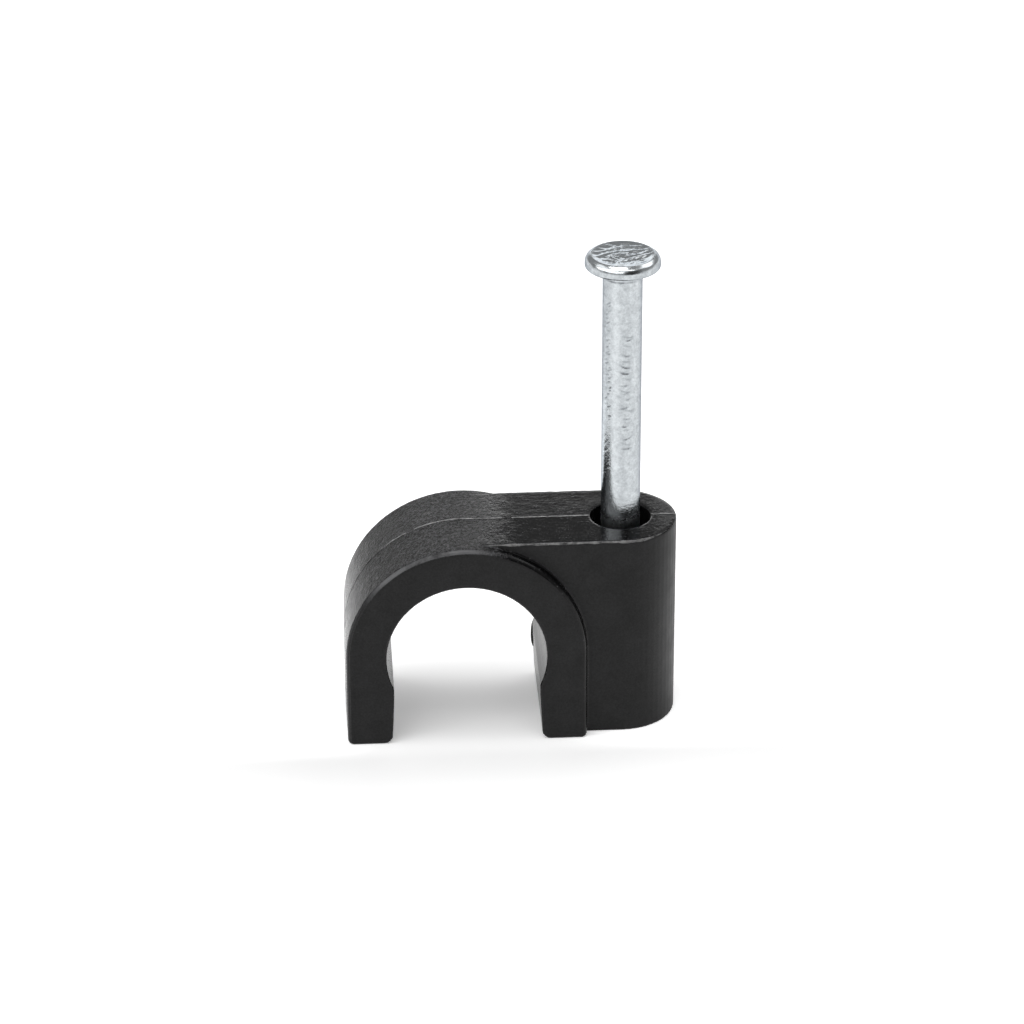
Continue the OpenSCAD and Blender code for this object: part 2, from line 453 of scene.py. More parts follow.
def plastic_masks(n, place, where, cloud):
    """Where each finish of the moulding is, from 0 to 1."""
    at = n.add("ShaderNodeSeparateXYZ", vector=where).outputs
    facing = n.add("ShaderNodeSeparateXYZ", vector=place.outputs["Normal"]).outputs
    across, upward = n.math("ABSOLUTE", facing["Y"]), n.math("ABSOLUTE", facing["Z"])
    face = ramped(n, across, *FACE_TURNS, 0.0, 1.0)
    edge = ramped(n, across, *EDGE_TURNS, 0.0, 1.0)
    boss_end = n.math("MULTIPLY", comes_in(n, at["X"], BOSS_END), ramped(n, upward, *END_TURNS, 1.0, 0.0))
    wander = n.remap(cloud, 0.0, 1.0, -BORDER_WANDER * MM, BORDER_WANDER * MM)
    boss = n.math("MULTIPLY", comes_in(n, n.math("ADD", at["X"], wander), BOSS_BORDER),
                  ramped(n, at["X"], *(x * MM for x in BOSS_TIP), 1.0, TIP_SHARE))
    return {
        "satin": n.math("MAXIMUM", face, boss_end),
        "boss": boss,
        "edge": n.math("MULTIPLY", edge, n.math("SUBTRACT", 1.0, face)),
        "flank": n.math("MULTIPLY", n.math("SUBTRACT", 1.0, boss), goes_out(n, at["Z"], FLANK_ENDS)),
        "channel": inside_channel(n, where, across),
        "shoulder": n.math("MULTIPLY", comes_in(n, at["Z"], SHOULDER_STARTS),
                           goes_out(n, at["Z"], SHOULDER_ENDS)),
        "crown": comes_in(n, at["Z"], CROWN_STARTS),
        "arch_top": comes_in(n, at["Z"], ARCH_TOP_STARTS),
    }


def two_tones(n, share, low, dark, high, pale):
    """A ramp between two near-black tones of the plastic, each with a little blue."""
    return n.ramp(share, ((low, (dark, dark, DARK_BLUE * dark)), (high, (pale, pale, PALE_BLUE * pale))))


def plastic_relief(n, mask, coarse, scratches, cloud):
    """The bump of the grain, fainter on the smoother finishes."""
    grain = n.math("MULTIPLY", coarse, n.remap(mask["boss"], 0.0, 1.0, 1.0, BOSS_GRAIN))
    grain = n.math("ADD", grain, n.math("MULTIPLY", scratches, SCRATCH_GRAIN))
    smudges = n.math("MULTIPLY", cloud, n.math("MULTIPLY", mask["boss"], SMUDGE_GRAIN))
    grain = n.math("ADD", grain, smudges)
    for finish, left in GRAIN_LEFT:
        grain = n.math("MULTIPLY", grain, n.remap(mask[finish], 0.0, 1.0, 1.0, left))
    return n.add("ShaderNodeBump", height=grain, strength=1.0, distance=GRAIN_DEPTH * MM).outputs[0]


def plastic_roughness(n, mask, cloud):
    """The roughness, from one finish to the next."""
    rough = n.remap(cloud, *NOISE_SPAN, *TOP_ROUGH)
    rough = n.math("SUBTRACT", rough, n.math("MULTIPLY", mask["boss"], BOSS_SMOOTHER))
    rough = n.math("MAXIMUM", rough, LEAST_ROUGH)
    rough = n.math("SUBTRACT", rough, n.math("MULTIPLY", mask["flank"], FLANK_SMOOTHER))
    rough = mixed(n, mask["edge"], rough, EDGE_ROUGH)
    rough = mixed(n, mask["satin"], rough, n.remap(cloud, *NOISE_SPAN, *SATIN_ROUGH))
    return mixed(n, mask["channel"], rough, CHANNEL_ROUGH)


def plastic_speckle(n, mask, coarse, fine, scratches, cloud):
    """Pale and dark specks of the grain, painted shade on the shoulders and painted light on the crown,
    smudges and scratches on the boss, and a painted highlight along the edges.
    """
    boss = mask["boss"]
    speck = n.math("ADD", n.math("MULTIPLY", coarse, COARSE_SHARE), n.math("MULTIPLY", fine, FINE_SHARE))
    speck = mixed(n, n.math("MULTIPLY", mask["flank"], FLANK_CALM[0]), speck, FLANK_CALM[1])
    # Painted shade on the shoulders, painted light on the crown
    speck = n.math("SUBTRACT", speck, n.math("MULTIPLY", mask["shoulder"], SHOULDER_DARKER))
    speck = n.math("ADD", speck, n.math("MULTIPLY", mask["crown"], CROWN_PALER))
    speck = mixed(n, n.math("MULTIPLY", boss, BOSS_CALM[0]), speck, BOSS_CALM[1])
    smudges = n.remap(cloud, *NOISE_SPAN, *BOSS_SMUDGES)
    speck = n.math("ADD", speck, n.math("MULTIPLY", boss, smudges))
    shown = ramped(n, scratches, *SCRATCH_SHOWS, 0.0, SCRATCH_PALER)
    speck = n.math("ADD", speck, n.math("MULTIPLY", boss, shown))
    # Painted highlight on the edges away from the boss, paler on the arch's top
    highlit_edge = n.math("MULTIPLY", mask["edge"], n.math("SUBTRACT", 1.0, boss))
    edge_highlight = mixed(n, mask["arch_top"], EDGE_HIGHLIGHT_LOW, n.remap(cloud, *EDGE_HIGHLIGHT_SPAN, *EDGE_HIGHLIGHT_TOP))
    return mixed(n, highlit_edge, speck, edge_highlight)


def plastic_material():
    """Black polypropylene: satin faces, spark-eroded top and flanks, a smoother boss, and a painted highlight
    on the edges.
    """
    material, n = new_material("moulded_polypropylene")
    place = n.add("ShaderNodeTexCoord")
    where = place.outputs["Object"]
    cloud = n.noise(where, *CLOUD)
    mask = plastic_masks(n, place, where, cloud)
    coarse = n.noise(n.stretched(where, GRAIN_STRETCH), *COARSE)
    fine = n.noise(n.stretched(where, GRAIN_STRETCH), *FINE)
    scratches = n.noise(n.stretched(where, SCRATCH_STRETCH), *SCRATCHES)
    grained = two_tones(n, plastic_speckle(n, mask, coarse, fine, scratches, cloud), *GRAINED_TONES)
    blotches = n.math("ADD", n.math("MULTIPLY", cloud, 0.5), n.math("MULTIPLY", fine, 0.5))
    clouded = two_tones(n, blotches, *SATIN_TONES)
    shader = n.add("ShaderNodeBsdfPrincipled",
                   base_color=mixed(n, mask["satin"], grained, clouded, "RGBA"),
                   roughness=plastic_roughness(n, mask, cloud),
                   normal=plastic_relief(n, mask, coarse, scratches, cloud),
                   specular_ior_level=PLASTIC_SPECULAR)
    n.add("ShaderNodeOutputMaterial", surface=shader.outputs[0])
    return material


def paled_and_highlit_material(name, low, high):
    """Thin flash and burrs, pale where the stretched plastic has whitened and as a painted highlight, and
    dark low down as painted shade.
    """
    material, n = new_material(name)
    where = n.add("ShaderNodeTexCoord").outputs["Object"]
    level = n.add("ShaderNodeSeparateXYZ", vector=where).outputs["Z"]
    starts, ends = PALED_SPAN
    tone = n.ramp(n.noise(where, *PALED), ((starts, (low, low, low)), (ends, (high, high, high))))
    # Painted shade on the flash below the height where it pales
    colour = mixed(n, comes_in(n, level, PALED_STARTS), LOW_PAINTED_SHADE, tone, "RGBA")
    rough = n.remap(n.noise(where, *PALED_DULL), *NOISE_SPAN, *PALED_ROUGH)
    shader = n.add("ShaderNodeBsdfPrincipled", base_color=colour, roughness=rough,
                   specular_ior_level=PALED_SPECULAR)
    n.add("ShaderNodeOutputMaterial", surface=shader.outputs[0])
    return material


def zinc_material():
    """Bright zinc plate over drawn wire: a mottled mirror with fine lines along the shank."""
    material, n = new_material("bright_zinc_plate")
    where = n.add("ShaderNodeTexCoord").outputs["Object"]
    level = n.add("ShaderNodeSeparateXYZ", vector=where).outputs["Z"]
    mottle = n.noise(where, *MOTTLE)
    crystals = n.noise(where, *CRYSTALS)
    lines = n.noise(n.stretched(where, WIRE_STRETCH), *WIRE_LINES)

    height = n.math("ADD", n.math("MULTIPLY", crystals, CRYSTAL_RISE), n.math("MULTIPLY", lines, LINE_RISE))
    height = n.math("ADD", height, mottle)
    on_head = ramped(n, level, *(z * MM for z in HEAD_STARTS), 1.0, HEAD_RELIEF)
    height = n.math("MULTIPLY", height, on_head)
    bump = n.add("ShaderNodeBump", height=height, strength=1.0, distance=ZINC_DEPTH * MM)
    duller = ramped(n, level, *(z * MM for z in HOLE_ENDS), HOLE_DULLER, 0.0)
    rough = n.math("ADD", n.remap(crystals, *NOISE_SPAN, *ZINC_ROUGH), duller)

    # Bands of painted reflection on the shank, and painted light on the head's top
    bands = n.add("ShaderNodeAttribute", settings={"attribute_name": "drawn"}).outputs["Fac"]
    # Painted shade in the dents of the gripping dies and at the head's edge
    painted_shade = n.add("ShaderNodeAttribute", settings={"attribute_name": "mark"}).outputs["Fac"]
    shade = n.math("ADD", n.math("MULTIPLY", mottle, MOTTLE_TONE), n.math("MULTIPLY", crystals, CRYSTAL_TONE))
    shade = n.math("ADD", shade, n.math("MULTIPLY", bands, BAND_TONE))
    shade = n.math("SUBTRACT", shade, n.math("MULTIPLY", painted_shade, PAINTED_SHADE_TONE))
    shader = n.add("ShaderNodeBsdfPrincipled", base_color=n.ramp(shade, ZINC_TONES), metallic=1.0,
                   roughness=rough, normal=bump.outputs[0], specular_tint=ZINC_TINT)
    n.add("ShaderNodeOutputMaterial", surface=shader.outputs[0])
    return material


# Clip body

# Length of a face of the even mesh, and how it is made even
BODY_FACE = 0.09
MERGE_REACH = 1e-7
RELAX_SHARE = 0.5
RELAX_ROUNDS = 4
# How far the grain and the worn edges rise, and the sizes of their noises, in millimetres
GRAIN_RISE = 0.002
GRAIN_SIZE = 0.24
EDGE_RISE = 0.006
EDGE_SIZE = 0.7
EDGE_SHIFT = 7.3
# How far a normal leans to a face while the grain fades, and while an edge starts and ends
GRAIN_FADES = (0.6, 0.95)
GRAIN_LOST = 0.85
EDGE_STARTS = (0.2, 0.45)
EDGE_ENDS = (0.88, 0.98)
# Height over the wall at which the grain starts, so that the soles stay flat
SOLE_FADES = (0.02, 0.2)


def evened_body():
    """The CAD body's own form on an even mesh, fine enough to carry grain and worn edges."""
    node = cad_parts["clip_body"]
    mesh = node.data.copy()
    bm = bmesh.new()
    bm.from_mesh(mesh)
    bmesh.ops.remove_doubles(bm, verts=bm.verts, dist=MERGE_REACH)
    bm.to_mesh(mesh)
    bm.free()
    rough = new_object("rough_body", mesh)
    even = rough.modifiers.new("even", "REMESH")
    even.mode = "VOXEL"
    even.voxel_size = BODY_FACE * MM
    relax = rough.modifiers.new("relax", "SMOOTH")
    relax.factor = RELAX_SHARE
    relax.iterations = RELAX_ROUNDS
    wrap = rough.modifiers.new("form", "SHRINKWRAP")
    wrap.target = node
    wrap.wrap_method = "NEAREST_SURFACEPOINT"
    bpy.context.view_layer.update()
    shaped = rough.evaluated_get(bpy.context.evaluated_depsgraph_get())
    result = bpy.data.meshes.new_from_object(shaped)
    bpy.data.objects.remove(rough)
    bpy.data.meshes.remove(mesh)
    return result


def smooth_step(values, low, high):
    share = np.clip((values - low) / (high - low), 0.0, 1.0)
    return share * share * (3.0 - 2.0 * share)


def noise_at(points, size, shift=0.0):
    """Smooth noise from about -1 to 1 at points in millimetres."""
    return np.array([noise.noise(Vector(p) / size + Vector((shift, shift, shift))) for p in points])


def add_body(plastic):
    """The moulding: the CAD body's form with a faint grain and slightly worn edges."""
    mesh = evened_body()
    mesh.name = "clip_moulding"
    mesh.materials.clear()
    mesh.materials.append(plastic)
    count = len(mesh.vertices)
    places, normals = np.zeros(count * 3), np.zeros(count * 3)
    mesh.vertices.foreach_get("co", places)
    mesh.vertex_normals.foreach_get("vector", normals)
    places, normals = places.reshape(-1, 3) / MM, normals.reshape(-1, 3)
    flatness = np.abs(normals[:, 1])
    grained = 1.0 - GRAIN_LOST * smooth_step(flatness, *GRAIN_FADES)
    edge = smooth_step(flatness, *EDGE_STARTS) * (1.0 - smooth_step(flatness, *EDGE_ENDS))
    rise = GRAIN_RISE * grained * noise_at(places, GRAIN_SIZE)
    rise += EDGE_RISE * edge * noise_at(places, EDGE_SIZE, EDGE_SHIFT)
    rise *= smooth_step(places[:, 2], *SOLE_FADES)
    places = (places + normals * rise[:, None]) * MM
    mesh.vertices.foreach_set("co", places.ravel())
    mesh.shade_smooth()
    body = new_object("clip_moulding", mesh)
    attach(body, "root")
    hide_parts("clip_body")


# Moulding flash

# Steps along a path, and how deep a ridge is sunk into the plastic, in millimetres
STEP = 0.06
FLASH_SINK = 0.05
# Section of a ridge: share of its half width, and share of its rise, or None where it is sunk
RIDGE = ((-1.0, None), (-0.62, 0.62), (-0.2, 1.0), (0.2, 1.0), (0.62, 0.62), (1.0, None))
# How an uneven rise and width swing, and how a rise sinks away in gaps
RISE_LEVEL = 0.7
RISE_SWING = 0.9
WIDTH_SWING = 0.45
GAP_SIZE = 3.1
GAP_SHIFT = 3.7
GAP_FADE = 0.12
GAP_SINK = 0.4
# The two stretches of the parting line's flash: rise, size of its swing and level of its gaps
FLASH_RISE = (0.03, 0.3, -0.3)
FLASH_WIDTH = (0.05, 0.25)
FLASH_SHIFTS = (2.0, 7.0)
FLASH_START = 0.4
FLASH_GROWS = (6.0, 10.0)
FLASH_LEAST = 0.25
HOLE_ROOM = 0.05
# Tones of the flash: pale partly for whitened plastic, partly as a painted highlight
FLASH_TONES = (0.06, 0.32)
# The burr of the boss, in the same order, with its start past the saddle's middle, the taper of
# its ends, and where it fades along the round end
BURR_RISE = (0.026, 0.4, -0.75)
BURR_WIDTH = (0.075, 0.5)
BURR_SHIFTS = (21.0, 23.0)
BURR_START = 0.75
BURR_TAPER = 1.6
BURR_FADES = (6.2, 7.6)
BURR_THIN = 0.35
# Tones of the burr: pale partly for whitened plastic, partly as a painted highlight
BURR_TONES = (0.02, 0.17)
# The burr of the leg: its lowest and highest place, its inset from the face, and its rise
LEG_SPAN = (1.65, 3.1)
LEG_INSET = 0.15
LEG_RISE = 0.09
LEG_SWING = 0.04
LEG_SIZE = 0.8
LEG_WIDTH = (0.1, 0.3)
LEG_SHIFTS = (43.0, 45.0)
# How deep a burr's tapered end lies under the surface
TAPER_SINK = 0.01


def line(start, end, outward):
    """Points along a straight stretch, with the direction that faces out of the plastic."""
    start, end = np.array(start, float), np.array(end, float)
    count = max(2, int(np.linalg.norm(end - start) / STEP))
    share = np.linspace(0.0, 1.0, count)[:, None]
    return start + (end - start) * share, np.tile(np.array(outward, float), (count, 1))


def bend(centre, radius, first, last, plane):
    """Points along an arc about centre. plane has the arc's two axes, as unit vectors."""
    count = max(3, int(abs(math.radians(last - first)) * radius / STEP))
    turn = np.radians(np.linspace(first, last, count))[:, None]
    outward = np.cos(turn) * np.array(plane[0], float) + np.sin(turn) * np.array(plane[1], float)
    return np.array(centre, float) + radius * outward, outward


def joined(*stretches):
    """One path from stretches that follow each other, without doubled points."""
    points = [stretches[0][0]] + [s[0][1:] for s in stretches[1:]]
    outward = [stretches[0][1]] + [s[1][1:] for s in stretches[1:]]
    return np.concatenate(points), np.concatenate(outward)


def ridge_shell(path, rise, half_width):
    """A closed ridge along a path, sunk into the plastic and rising out of it."""
    points, outward = path
    along = np.gradient(points, axis=0)
    across = np.cross(along, outward)
    across /= np.linalg.norm(across, axis=1)[:, None]
    rows = []
    for side, share in RIDGE:
        lift = -FLASH_SINK * np.ones(len(points)) if share is None else rise * share
        rows.append(points + across * (side * half_width)[:, None] + outward * lift[:, None])
    vertices = np.stack(rows, 1).reshape(-1, 3)
    width = len(RIDGE)
    faces = []
    for i in range(len(points) - 1):
        for j in range(width):
            k = (j + 1) % width
            faces.append((i * width + j, (i + 1) * width + j, (i + 1) * width + k, i * width + k))
    faces.append(tuple(range(width)))
    faces.append(tuple((len(points) - 1) * width + j for j in reversed(range(width))))
    return vertices, faces


def shells_mesh(name, shells):
    vertices, faces = [], []
    for points, rings in shells:
        base = len(vertices)
        vertices.extend((points * MM).tolist())
        faces.extend(tuple(base + i for i in face) for face in rings)
    mesh = bpy.data.meshes.new(name)
    mesh.from_pydata(vertices, [], faces)
    bm = bmesh.new()
    bm.from_mesh(mesh)
    bmesh.ops.recalc_face_normals(bm, faces=bm.faces)
    bm.to_mesh(mesh)
    bm.free()
    mesh.shade_smooth()
    return mesh


def broken(points, height, size, gap, shift):
    """An uneven rise along a path that sinks out of sight in places."""
    rise = height * (RISE_LEVEL + RISE_SWING * noise_at(points, size, shift))
    shown = noise_at(points, size * GAP_SIZE, shift + GAP_SHIFT)
    shown = smooth_step(shown, gap - GAP_FADE, gap + GAP_FADE)
    return rise * shown - GAP_SINK * FLASH_SINK * (1.0 - shown)


def uneven(points, width, size, shift):
    """An uneven half width along a path."""
    return width * (1.0 + WIDTH_SWING * noise_at(points, size, shift))


# Planes of the arcs
XZ = ((1, 0, 0), (0, 0, 1))
XY = ((1, 0, 0), (0, 1, 0))


def flash_paths():
    """The parting line's paths over the outside, on each side of the nail hole."""
    left, end = CHANNEL_X - SADDLE_R, NAIL_X + BOSS_R
    meet = math.degrees(math.asin((BOSS_TOP - ROUND_Z) / SADDLE_R))
    meet_x = CHANNEL_X + SADDLE_R * math.cos(math.radians(meet))
    centre = (CHANNEL_X, 0.0, ROUND_Z)
    saddle = joined(
        line((left, 0, FLASH_START), (left, 0, ROUND_Z), (-1, 0, 0)),
        bend(centre, SADDLE_R, 180.0, meet, XZ),
        line((meet_x, 0, BOSS_TOP), (NAIL_X - MOUTH_R - HOLE_ROOM, 0, BOSS_TOP), (0, 0, 1)))
    low = BOSS_TOP - BOSS_DRAFT
    corner = (end - BOSS_EDGE_R, 0, low - BOSS_EDGE_R)
    far = joined(
        line((NAIL_X + MOUTH_R + HOLE_ROOM, 0, BOSS_TOP), (end - BOSS_EDGE_R, 0, low), (0, 0, 1)),
        bend(corner, BOSS_EDGE_R, 90.0, 0.0, XZ))
    return saddle, far


def add_parting_flash(material):
    shells = []
    for path, shift in zip(flash_paths(), FLASH_SHIFTS):
        points = path[0]
        rise = broken(points, *FLASH_RISE, shift)
        rise *= FLASH_LEAST + (1.0 - FLASH_LEAST) * smooth_step(points[:, 2], *FLASH_GROWS)
        shells.append(ridge_shell(path, rise, uneven(points, *FLASH_WIDTH, shift + 1.0)))
    add_plastic_piece("parting_flash", shells, material)


def boss_edge_path():
    """Along the top edge of the boss: its front, its round end and its back."""
    slope = math.radians(45.0)
    inset = BOSS_R - BOSS_EDGE_R + BOSS_EDGE_R * math.cos(slope)
    height = BOSS_TOP - BOSS_DRAFT - BOSS_EDGE_R + BOSS_EDGE_R * math.sin(slope)
    start = CHANNEL_X + BURR_START
    up = math.sin(slope)
    front = line((start, -inset, height), (NAIL_X, -inset, height), (0, -up, up))
    points, outward = bend((NAIL_X, 0, height), inset, -90.0, 90.0, XY)
    outward = outward * up + np.array([0.0, 0.0, up])
    back = line((NAIL_X, inset, height), (start, inset, height), (0, up, up))
    return joined(front, (points, outward), back)


def leg_burr_path():
    """A burr on the inner wall of the leg beside the boss, at its far edge."""
    x, y = CHANNEL_X + LEG_GAP, HALF_DEPTH - LEG_INSET
    return line((x, y, LEG_SPAN[0]), (x, y, LEG_SPAN[1]), (-1, 0, 0))


def add_boss_burr(material):
    path = boss_edge_path()
    points = path[0]
    place = np.arange(len(points))
    from_end = np.minimum(place, place[::-1]) * STEP
    taper = smooth_step(from_end, 0.0, BURR_TAPER) * (1.0 - smooth_step(points[:, 0], *BURR_FADES))
    rise = broken(points, *BURR_RISE, BURR_SHIFTS[0]) * taper - TAPER_SINK * (1.0 - taper)
    width = uneven(points, *BURR_WIDTH, BURR_SHIFTS[1]) * (BURR_THIN + (1.0 - BURR_THIN) * taper)
    add_plastic_piece("boss_edge_burr", [ridge_shell(path, rise, width)], material)


def add_leg_burr(material):
    path = leg_burr_path()
    points = path[0]
    bell = np.sqrt(np.sin(np.linspace(0.0, math.pi, len(points))).clip(0.0))
    rise = bell * (LEG_RISE + LEG_SWING * noise_at(points, LEG_SIZE, LEG_SHIFTS[0])) - TAPER_SINK
    width = uneven(points, *LEG_WIDTH, LEG_SHIFTS[1])
    add_plastic_piece("leg_burr", [ridge_shell(path, rise, width)], material)


def add_plastic_piece(name, shells, material):
    mesh = shells_mesh(name, shells)
    mesh.materials.append(material)
    piece = new_object(name, mesh)
    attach(piece, "root")


# Nail

RING_POINTS = 160
# Places along the point, the hidden shank, the shank, each rounding, the underside, side and top
POINT_RINGS = 24
HIDDEN_RINGS = 14
SHANK_RINGS = 400
ROUND_RINGS = 11
UNDER_RINGS = 8
SIDE_RINGS = 6
TOP_RINGS = 46
# Height up to which the boss hides the shank, and where the first ring of the point is
HIDDEN_TOP = 8.0
POINT_START = 0.05
# Marks of the gripping dies: turn about the nail, lowest and highest place, number, length,
# depth and slant
GRIP_COLUMNS = ((-81.0, 14.8, 21.2, 20, 0.46, 0.022, 0.0),
                (-139.0, 16.6, 22.8, 29, 0.26, 0.02, 0.4),
                (-143.0, 11.4, 16.0, 15, 0.4, 0.007, 0.8),
                (99.0, 14.8, 21.2, 15, 0.42, 0.02, 0.0),
                (39.0, 15.2, 22.6, 22, 0.22, 0.016, 0.4))
# How the marks of a column differ: place, turn, half length, half width, slant and depth
MARK_PLACE = (0.1, 0.9)
MARK_TURN = 9.0
MARK_LENGTH = (0.3, 0.6)
MARK_WIDTH = (0.03, 0.045)
MARK_SLANT = 0.35
MARK_DEPTH = (0.5, 1.1)
# How a mark curves, how far its ends run out, how high its burr is, and how far below it lies
MARK_CURVE = 0.35
MARK_RUNS_OUT = 3.0
MARK_BURR = 0.45
MARK_BURR_BELOW = 2.0
# How near a mark has to be to reach a ring
MARK_NEAR = 0.6
# Depth at which the painted shade in a mark is as dark as it gets
MARK_FULL = 0.02
# Bands of painted reflection along the shank: turn about the nail, half width, and how pale
REFLECTION_BANDS = ((-114.0, 10.0, 0.22), (-146.0, 12.0, -0.14), (-86.0, 14.0, -0.08), (-50.0, 12.0, 0.06))
BAND_MIDDLE = 0.5
# Painted light on the head's top: how much paler it is, and how far below the top it is palest
HEAD_PALER = 0.45
HEAD_PALEST = 0.12
# Rings of painted shade at the head's edge and on the neck: height over its underside, spread and amount
NECK_SHADE_RINGS = ((0.02, 0.06, 1.0), (-0.47, 0.05, 0.7))
# How dark the painted shade is, where it is darkest round the nail, and how it varies
NECK_SHADE = 1.8
NECK_SHADE_TURN = -112.0
NECK_SHADE_SPREAD = 0.6
NECK_SHADE_LEAST = 0.25
NECK_SHADE_SWING = 0.6
NECK_SHADE_SIZE = 0.4
NECK_SHADE_SHIFT = 31.0
# Streaks that the header's punch leaves: turn, length, width, depth and shift of the noise
HEAD_STREAKS = ((27.0, 1.4, 0.55, 0.065, 3.1), (-20.0, 0.8, 0.45, 0.03, 8.4),
                (34.0, 0.4, 0.14, 0.011, 5.7), (8.0, 0.2, 0.12, 0.003, 1.9))
STREAK_GAIN = 2.2
STREAK_FADES = (0.72, 1.0)
# Tilt of the rim, from the side of the head to its top
RIM_TILTS = ((0.0, 90.0), (0.1, 76.0), (0.45, 58.0), (0.55, 44.0), (0.92, 28.0), (1.0, 0.0))
RIM_STEPS = 40


def ring(radius, height):
    turn = np.arange(RING_POINTS) * 2.0 * math.pi / RING_POINTS
    radius = np.broadcast_to(radius, turn.shape)
    return np.stack([radius * np.cos(turn), radius * np.sin(turn), np.full_like(turn, height)], 1)


def stacked_mesh(name, rings):
    """Closes a stack of rings into a mesh; the first and last entries are single points."""
    points = np.concatenate([rings[0][None], *rings[1:-1], rings[-1][None]])
    faces = []
    steps = [(j, (j + 1) % RING_POINTS) for j in range(RING_POINTS)]
    faces.extend((0, 1 + k, 1 + j) for j, k in steps)
    for i in range(len(rings) - 3):
        low, high = 1 + i * RING_POINTS, 1 + (i + 1) * RING_POINTS
        faces.extend((low + j, low + k, high + k, high + j) for j, k in steps)
    top, end = 1 + (len(rings) - 3) * RING_POINTS, len(points) - 1
    faces.extend((top + j, top + k, end) for j, k in steps)
    mesh = bpy.data.meshes.new(name)
    mesh.from_pydata((points * MM).tolist(), [], faces)
    return mesh


def point_ring(height):
    """A ring of the four-sided point: a square that runs out into the round shank."""
    turn = np.arange(RING_POINTS) * 2.0 * math.pi / RING_POINTS - math.pi / 4
    half = SHANK_R * (height - NAIL_TIP) / POINT_LENGTH
    square = half / np.maximum(np.abs(np.cos(turn)), np.abs(np.sin(turn)))
    return ring(np.minimum(SHANK_R, square), height)


def grip_marks():
    """Every mark of the gripping dies: turn, height, half length, half width, slant and depth."""
    draw = random.Random(SEED)
    marks = []
    for turn, low, high, number, length, depth, slant in GRIP_COLUMNS:
        for i in range(number):
            height = low + (high - low) * (i + draw.uniform(*MARK_PLACE)) / number
            at = math.radians(turn + draw.uniform(-MARK_TURN, MARK_TURN))
            half = length * draw.uniform(*MARK_LENGTH)
            thick = draw.uniform(*MARK_WIDTH)
            lean = slant + draw.uniform(-MARK_SLANT, MARK_SLANT)
            marks.append((at, height, half, thick, lean, depth * draw.uniform(*MARK_DEPTH)))
    return marks


def turned_from(turn, at):
    """How far turns about the nail are from another one, from minus half a turn to half a turn."""
    return np.mod(turn - at + math.pi, 2.0 * math.pi) - math.pi


def mark_depths(turn, height, marks):
    """How deep the marks of the gripping dies are, and how high their burrs, round the nail."""
    dent, burr = np.zeros(len(turn)), np.zeros(len(turn))
    for at, level, half, thick, slant, depth in marks:
        aside = turned_from(turn, at) * SHANK_R
        rise = height - level - slant * aside - MARK_CURVE * aside * aside
        reach = np.exp(-np.minimum(aside / half, MARK_RUNS_OUT) ** 4)
        dent = np.maximum(dent, depth * np.exp(-(rise / thick) ** 2) * reach)
        below = (rise + MARK_BURR_BELOW * thick) / thick
        burr = np.maximum(burr, MARK_BURR * depth * np.exp(-below ** 2) * reach)
    return dent, burr


def shank_ring(height, marks):
    """A ring of the shank, with the marks of the gripping dies pressed into it."""
    turn = np.arange(RING_POINTS) * 2.0 * math.pi / RING_POINTS
    near = [mark for mark in marks if abs(mark[1] - height) < MARK_NEAR]
    dent, burr = mark_depths(turn, height, near)
    return ring(SHANK_R - dent + burr, height)


def reflection_bands(turn):
    """Pale and dull bands of painted reflection along the shank, from 0 to 1."""
    value = np.full(len(turn), BAND_MIDDLE)
    for at, width, amount in REFLECTION_BANDS:
        for start in (at, at + 180.0):
            aside = turned_from(turn, math.radians(start))
            value += amount * np.exp(-(aside / math.radians(width)) ** 2)
    return value


def neck_shade(places, turn):
    """Painted shade at the head's edge and on the neck below it, darkest on one side."""
    above = places[:, 2] - NAIL_TOP + HEAD_THICK
    painted_shade = sum(amount * np.exp(-((above - at) / spread) ** 2) for at, spread, amount in NECK_SHADE_RINGS)
    aside = turned_from(turn, math.radians(NECK_SHADE_TURN))
    painted_shade *= NECK_SHADE * (NECK_SHADE_LEAST + np.exp(-(aside / NECK_SHADE_SPREAD) ** 2))
    return painted_shade * (1.0 + NECK_SHADE_SWING * noise_at(places, NECK_SHADE_SIZE, NECK_SHADE_SHIFT))


def store(mesh, name, values):
    layer = mesh.attributes.new(name, "FLOAT", "POINT")
    layer.data.foreach_set("value", values.astype(np.float32))


def store_bands_and_shade(mesh, marks):
    """Keeps the bands of painted reflection, the painted light on the head's top, and the painted shade in
    the marks and at the head, for the zinc's tone.
    """
    places = np.zeros(len(mesh.vertices) * 3)
    mesh.vertices.foreach_get("co", places)
    places = places.reshape(-1, 3) / MM
    height = places[:, 2]
    turn = np.arctan2(places[:, 1], places[:, 0])
    # Painted light on the head's top, and bands of painted reflection on the shank
    head = BAND_MIDDLE + HEAD_PALER * smooth_step(height, NAIL_TOP - RIM_R, NAIL_TOP - HEAD_PALEST)
    store(mesh, "drawn", np.where(height < NAIL_TOP - HEAD_THICK, reflection_bands(turn), head))
    # Painted shade in the dents of the gripping dies, and at the head's edge
    dent, _ = mark_depths(turn, height, marks)
    on_shank = np.hypot(places[:, 0], places[:, 1]) > 0.9 * SHANK_R
    depth = np.where(on_shank, dent / MARK_FULL, 0.0)
    store(mesh, "mark", np.maximum(depth, neck_shade(places, turn)))


def head_relief(x, y):
    """Dents and streaks that the header's punch leaves on top of the head, in millimetres."""
    height = 0.0
    for turn, size_x, size_y, depth, shift in HEAD_STREAKS:
        a = math.radians(turn)
        u, v = x * math.cos(a) + y * math.sin(a), y * math.cos(a) - x * math.sin(a)
        value = noise.noise(Vector((u / size_x + shift, v / size_y + shift, shift)))
        height -= depth * min(1.0, abs(value) * STREAK_GAIN)
    return height


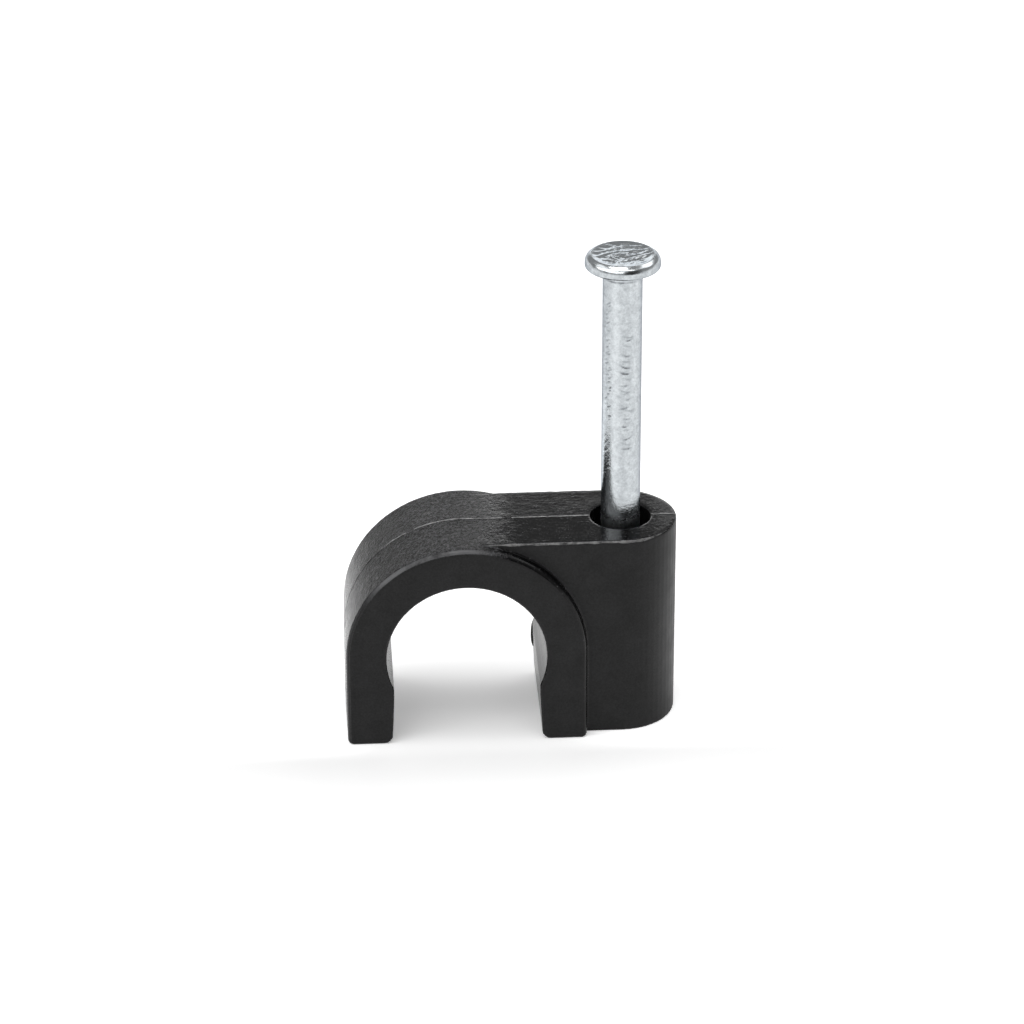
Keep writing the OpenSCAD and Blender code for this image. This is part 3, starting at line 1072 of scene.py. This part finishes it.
def head_ring(radius):
    """A ring of the head's top, with the punch's streaks fading toward the rim."""
    points = ring(radius, NAIL_TOP)
    flat = HEAD_R - RIM_R
    share = 1.0 - float(smooth_step(np.array(radius / flat), *STREAK_FADES))
    points[:, 2] += [share * head_relief(x, y) for x, y, _ in points]
    return points


def rim_profile():
    """Pairs of inset and drop from the side of the head to its top: rounded, with a flatter middle."""
    share = (np.arange(RIM_STEPS) + 0.5) / RIM_STEPS
    tilt = np.radians(np.interp(share, *zip(*RIM_TILTS)))
    inset = np.concatenate([[0.0], np.cumsum(np.cos(tilt))])
    drop = np.concatenate([[0.0], np.cumsum(np.sin(tilt))])
    scale = RIM_R / inset[-1]
    return list(zip(inset * scale, (drop[-1] - drop) * scale))


def nail_rings(marks):
    """The nail as a stack of rings, from its tip to the middle of its head."""
    head_under = NAIL_TOP - HEAD_THICK
    neck = head_under - NECK_R
    under_edge = HEAD_R - UNDER_R
    quarter = np.linspace(0.0, math.pi / 2, ROUND_RINGS)[1:]
    rim = rim_profile()
    shoulder = NAIL_TOP - rim[0][1]

    rings = [np.array([0.0, 0.0, NAIL_TIP])]
    point = np.linspace(POINT_START, 1.0, POINT_RINGS)
    rings += [point_ring(NAIL_TIP + share * POINT_LENGTH) for share in point]
    hidden = np.linspace(NAIL_TIP + POINT_LENGTH, HIDDEN_TOP, HIDDEN_RINGS)[1:]
    rings += [ring(SHANK_R, height) for height in hidden]
    rings += [shank_ring(height, marks) for height in np.linspace(HIDDEN_TOP, neck, SHANK_RINGS)[1:]]
    rings += [ring(SHANK_R + NECK_R * (1 - math.cos(a)), neck + NECK_R * math.sin(a)) for a in quarter]
    underside = np.linspace(SHANK_R + NECK_R, under_edge, UNDER_RINGS)[1:]
    rings += [ring(radius, head_under) for radius in underside]
    rings += [ring(under_edge + UNDER_R * math.sin(a), head_under + UNDER_R * (1 - math.cos(a)))
              for a in quarter]
    side = np.linspace(head_under + UNDER_R, shoulder, SIDE_RINGS)[1:]
    rings += [ring(HEAD_R, height) for height in side]
    rings += [ring(HEAD_R - inset, NAIL_TOP - drop) for inset, drop in rim[1:]]
    rings += [head_ring(radius) for radius in np.linspace(HEAD_R - RIM_R, 0.0, TOP_RINGS)[1:-1]]
    rings.append(np.array([0.0, 0.0, NAIL_TOP + head_relief(0.0, 0.0)]))
    return rings


def add_nail(material):
    marks = grip_marks()
    mesh = stacked_mesh("wire_nail", nail_rings(marks))
    store_bands_and_shade(mesh, marks)
    mesh.transform(Matrix.Translation((NAIL_X * MM, 0.0, 0.0)))
    mesh.materials.append(material)
    mesh.shade_smooth()
    nail = new_object("wire_nail", mesh)
    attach(nail, "root")
    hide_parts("nail")


add_camera()
add_studio()
plastic = plastic_material()
add_body(plastic)
add_parting_flash(paled_and_highlit_material("flash_polypropylene", *FLASH_TONES))
add_boss_burr(paled_and_highlit_material("burr_polypropylene", *BURR_TONES))
add_leg_burr(plastic)
add_nail(zinc_material())
